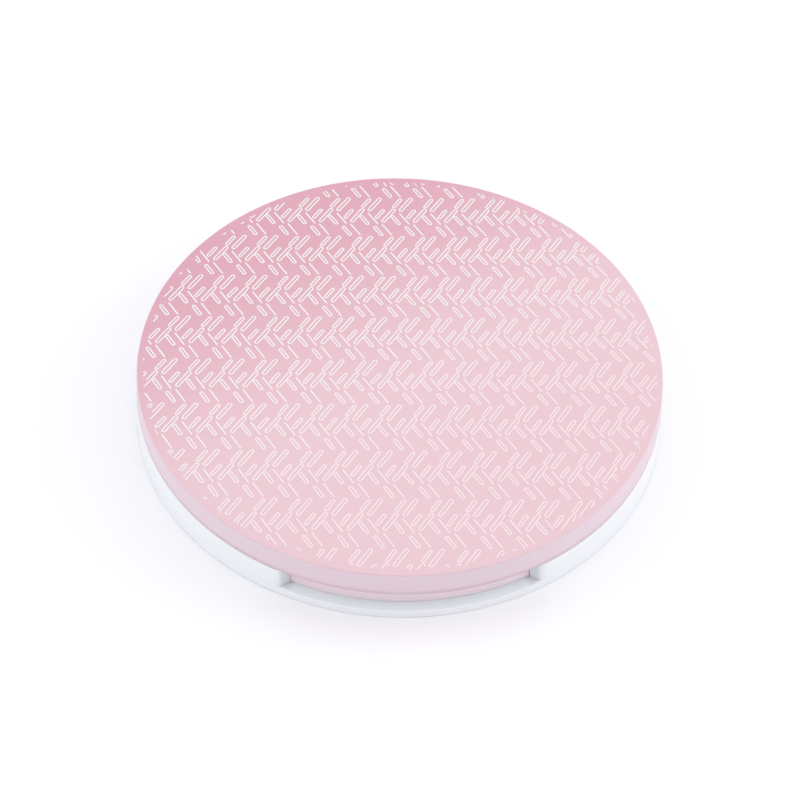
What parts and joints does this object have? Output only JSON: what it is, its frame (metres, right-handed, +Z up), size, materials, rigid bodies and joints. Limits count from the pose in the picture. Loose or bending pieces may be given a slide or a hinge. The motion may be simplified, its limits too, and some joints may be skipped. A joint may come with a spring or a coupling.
{
  "type": "contact lens case",
  "caption": "Flat round contact lens case with a hinged mirror lid, lens cups with quarter-turn caps, tweezers and an insertion stick.",
  "frame": {"origin": "under the middle of the base, on the surface that the case stands on", "axes": "+Z up, +Y towards the lid's hinge at the back, -Y towards the thumb notch, +X to the right seen from the notch"},
  "size_m": [0.088, 0.088, 0.011],
  "materials": {
    "white_plastic": "fine satin moulded plastic, cool white",
    "lid_plastic": "satin moulded plastic, pale lilac pink",
    "face_film": "satin pink face with a fine raised white outline pattern",
    "cup_plastic": "smooth translucent-looking white plastic",
    "pink_plastic": "satin moulded plastic, pink",
    "silicone": "soft matt milky silicone",
    "adhesive_pad": "thin grey foam tape",
    "steel": "drawn wire",
    "mirror_glass": "silvered glass"
  },
  "bodies": {
    "base": {"base_shell": "white_plastic", "inner_tray": "white_plastic", "hinge_pin": "steel", "left_well_cup": "cup_plastic", "right_well_cup": "cup_plastic", "tweezer_bow": "pink_plastic", "applicator_rod": "pink_plastic", "applicator_cup": "silicone"},
    "lid": {"lid_shell": "lid_plastic", "lid_top_plate": "face_film", "mirror_pad": "adhesive_pad", "mirror": "mirror_glass", "mirror_ring": "white_plastic"},
    "left_cap": {"left_cap": "pink_plastic", "left_cap_seal": "silicone"},
    "right_cap": {"right_cap": "white_plastic", "right_cap_seal": "silicone"},
    "tweezer_left": {"tweezer_left_arm": "pink_plastic", "tweezer_left_tip": "silicone"},
    "tweezer_right": {"tweezer_right_arm": "pink_plastic", "tweezer_right_tip": "silicone"}
  },
  "joints": [
    {"name": "lid_hinge", "type": "hinge", "parent": "base", "child": "lid", "pos_m": [0, 0.0414, 0.0065], "axis": [-1, 0, 0], "range_deg": [0, 115]},
    {"name": "left_cap_turn", "type": "hinge", "parent": "base", "child": "left_cap", "pos_m": [-0.017, 0.009, 0.0065], "axis": [0, 0, 1], "range_deg": [0, 90]},
    {"name": "right_cap_turn", "type": "hinge", "parent": "base", "child": "right_cap", "pos_m": [0.017, 0.009, 0.0065], "axis": [0, 0, 1], "range_deg": [0, 90]},
    {"name": "tweezer_left_squeeze", "type": "hinge", "parent": "base", "child": "tweezer_left", "pos_m": [-0.0237, -0.0121, 0.0037], "axis": [0, 0, -1], "range_deg": [0, 2.7], "stiffness_Nm_per_rad": 0.3},
    {"name": "tweezer_right_squeeze", "type": "hinge", "parent": "base", "child": "tweezer_right", "pos_m": [-0.0237, -0.0189, 0.0037], "axis": [0, 0, 1], "range_deg": [0, 2.7], "stiffness_Nm_per_rad": 0.3}
  ],
  "couplings": [
    {"joint": "tweezer_right_squeeze", "follows": "tweezer_left_squeeze", "ratio": 1}
  ]
}
